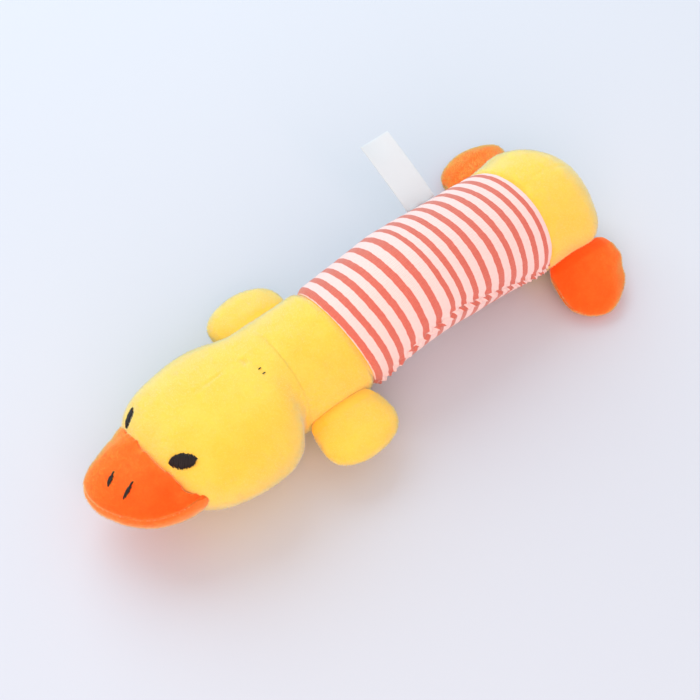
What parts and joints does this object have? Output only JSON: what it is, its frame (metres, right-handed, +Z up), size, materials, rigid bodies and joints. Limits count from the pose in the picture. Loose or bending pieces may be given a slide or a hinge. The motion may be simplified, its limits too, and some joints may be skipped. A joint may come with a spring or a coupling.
{
  "type": "plush dog chew toy",
  "caption": "Stuffed squeaky chew toy shaped as a long duck lying on its belly, with a striped jersey body, wings, feet and a flat orange bill.",
  "frame": {"origin": "on the floor under the centre of the bounding box", "axes": "+Z up; the body runs along Y with the bill towards -Y; +X is the duck's left"},
  "size_m": [0.1012, 0.2398, 0.0553],
  "materials": {
    "yellow_plush": "short-pile plush, matt",
    "striped_jersey": "knitted jersey with fine stripes across it, matt",
    "orange_plush": "short-pile plush, matt",
    "light_orange_plush": "short-pile plush, matt",
    "black_thread": "embroidery thread, slight sheen",
    "polyester_fibre": "loose polyester filling",
    "white_ribbon": "smooth woven ribbon, bare",
    "squeaker_plastic": "soft translucent plastic",
    "reed_film": "thin plastic film"
  },
  "bodies": {
    "chest": {"chest_left_panel": "yellow_plush", "chest_right_panel": "yellow_plush", "chest_stuffing": "polyester_fibre", "striped_sleeve": "striped_jersey"},
    "neck": {"neck_stuffing": "polyester_fibre"},
    "head": {"head_left_panel": "yellow_plush", "head_right_panel": "yellow_plush", "head_stuffing": "polyester_fibre", "bill_top_panel": "orange_plush", "bill_bottom_panel": "light_orange_plush", "bill_stuffing": "polyester_fibre", "eye_left": "black_thread", "eye_right": "black_thread", "nostril_left": "black_thread", "nostril_right": "black_thread", "nape_stitch_outer": "black_thread", "nape_stitch_inner": "black_thread"},
    "waist": {"waist_stuffing": "polyester_fibre"},
    "rear": {"belly_stuffing": "polyester_fibre", "rump_left_panel": "yellow_plush", "rump_right_panel": "yellow_plush", "rump_stuffing": "polyester_fibre", "squeaker_reed_capsule": "squeaker_plastic", "squeaker_reed_clamp": "squeaker_plastic"},
    "wing_left": {"wing_left_top_panel": "yellow_plush", "wing_left_bottom_panel": "yellow_plush", "wing_left_stuffing": "polyester_fibre"},
    "wing_right": {"wing_right_top_panel": "yellow_plush", "wing_right_bottom_panel": "yellow_plush", "wing_right_stuffing": "polyester_fibre"},
    "foot_left": {"foot_left_top_panel": "orange_plush", "foot_left_bottom_panel": "orange_plush", "foot_left_stuffing": "polyester_fibre"},
    "foot_right": {"foot_right_top_panel": "orange_plush", "foot_right_bottom_panel": "orange_plush", "foot_right_stuffing": "polyester_fibre"},
    "label": {"label_tag": "white_ribbon"},
    "squeaker_bulb": {"squeaker_bulb": "squeaker_plastic"},
    "reed": {"squeaker_reed": "reed_film"}
  },
  "joints": [
    {"name": "neck_turn", "type": "hinge", "parent": "chest", "child": "neck", "pos_m": [0.0017, -0.03872, 0.0244], "axis": [0, 0, 1], "range_deg": [-12, 6], "stiffness_Nm_per_rad": 0.2},
    {"name": "neck_nod", "type": "hinge", "parent": "neck", "child": "head", "pos_m": [0.0017, -0.03872, 0.0244], "axis": [1, 0, 0], "range_deg": [-12, 12], "stiffness_Nm_per_rad": 0.2},
    {"name": "waist_bend", "type": "hinge", "parent": "chest", "child": "waist", "pos_m": [0.0033, 0.02698, 0.0324], "axis": [1, 0, 0], "range_deg": [-15, 15], "stiffness_Nm_per_rad": 0.6, "deforming": ["striped_sleeve"]},
    {"name": "waist_sway", "type": "hinge", "parent": "waist", "child": "rear", "pos_m": [0.0033, 0.02698, 0.0324], "axis": [0, 0, 1], "range_deg": [-15, 15], "stiffness_Nm_per_rad": 0.6, "deforming": ["striped_sleeve"]},
    {"name": "wing_left_flap", "type": "hinge", "parent": "chest", "child": "wing_left", "pos_m": [0.02936, -0.02572, 0.0195], "axis": [0, -1, 0], "range_deg": [-20, 45], "stiffness_Nm_per_rad": 0.02},
    {"name": "wing_right_flap", "type": "hinge", "parent": "chest", "child": "wing_right", "pos_m": [-0.02596, -0.02572, 0.0195], "axis": [0, 1, 0], "range_deg": [-20, 45], "stiffness_Nm_per_rad": 0.02},
    {"name": "foot_left_flex", "type": "hinge", "parent": "rear", "child": "foot_left", "pos_m": [0.02902, 0.09922, 0.0123], "axis": [-0.0715, -0.9974, 0], "range_deg": [-15, 40], "stiffness_Nm_per_rad": 0.02},
    {"name": "foot_right_flex", "type": "hinge", "parent": "rear", "child": "foot_right", "pos_m": [-0.02902, 0.09922, 0.0123], "axis": [-0.0715, 0.9974, 0], "range_deg": [-15, 40], "stiffness_Nm_per_rad": 0.02},
    {"name": "label_swing", "type": "hinge", "parent": "rear", "child": "label", "pos_m": [-0.0178, 0.05178, 0.04142], "axis": [0, 1, 0], "range_deg": [-50, 50], "stiffness_Nm_per_rad": 0.001},
    {"name": "squeaker_squeeze", "type": "slide", "parent": "rear", "child": "squeaker_bulb", "axis": [0, 0, -1], "range_m": [0, 0.003], "stiffness_N_per_m": 600, "deforming": ["squeaker_bulb"]},
    {"name": "reed_bend", "type": "hinge", "parent": "rear", "child": "reed", "pos_m": [0.00376, 0.06427, 0.01984], "axis": [1, 0, 0], "range_deg": [-3, 3], "stiffness_Nm_per_rad": 0.00002}
  ]
}
